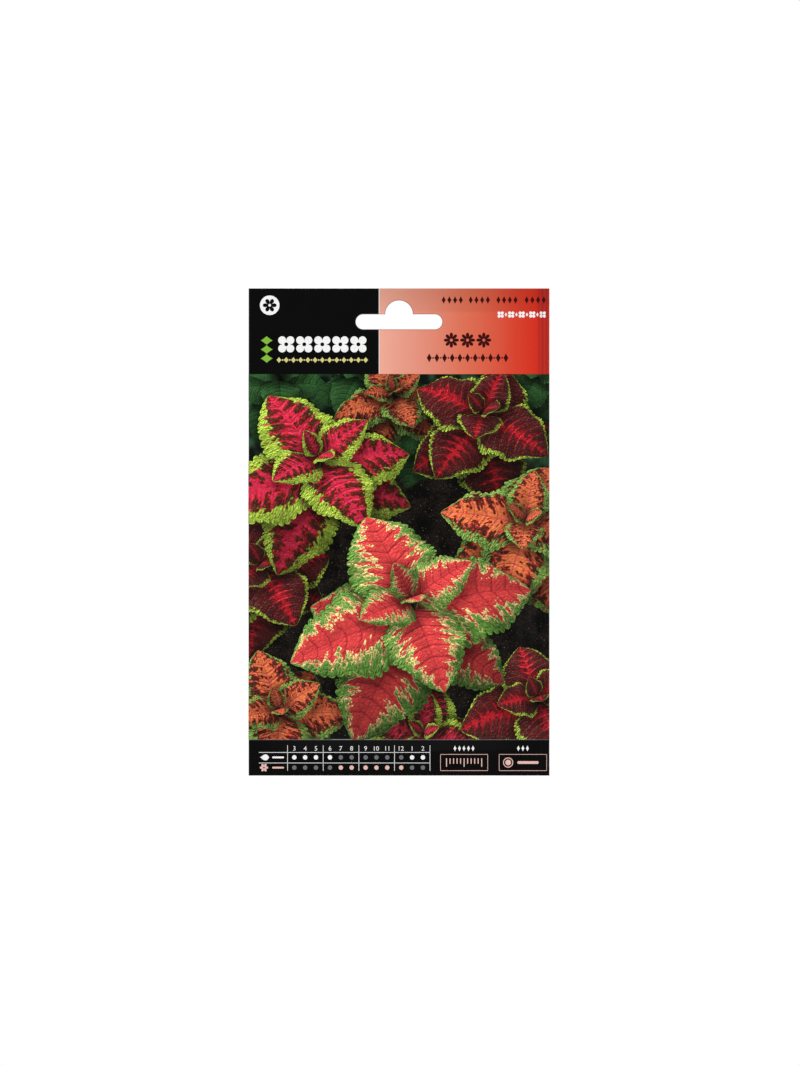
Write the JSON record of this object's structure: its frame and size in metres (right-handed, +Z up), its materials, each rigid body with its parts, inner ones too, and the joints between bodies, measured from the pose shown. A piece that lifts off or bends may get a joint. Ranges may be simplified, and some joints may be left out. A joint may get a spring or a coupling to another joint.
{
  "type": "seed packet",
  "caption": "Flat sealed paper packet for flower seed, folded at one side, with a hang slot through its header and a small foil sachet of seed inside.",
  "frame": {"origin": "the top of the hang slot's crown, midway through the header's thickness, where a peg carries the packet", "axes": "+Z up towards the header's top edge, +X to the right across the printed front, +Y towards the plain back, so the front faces -Y"},
  "size_m": [0.1, 0.0038, 0.162],
  "materials": {
    "coated_paper": "glossy coated paper, printed",
    "seal_glue": "clear dried glue film",
    "sachet_foil": "satin foil",
    "seed_coat": "dark hard seed coat"
  },
  "bodies": {
    "root": {"envelope": "coated_paper", "seal_glue": "seal_glue", "sachet_back_foil": "sachet_foil", "sachet_front_foil": "sachet_foil", "seeds": "seed_coat"}
  },
  "joints": []
}
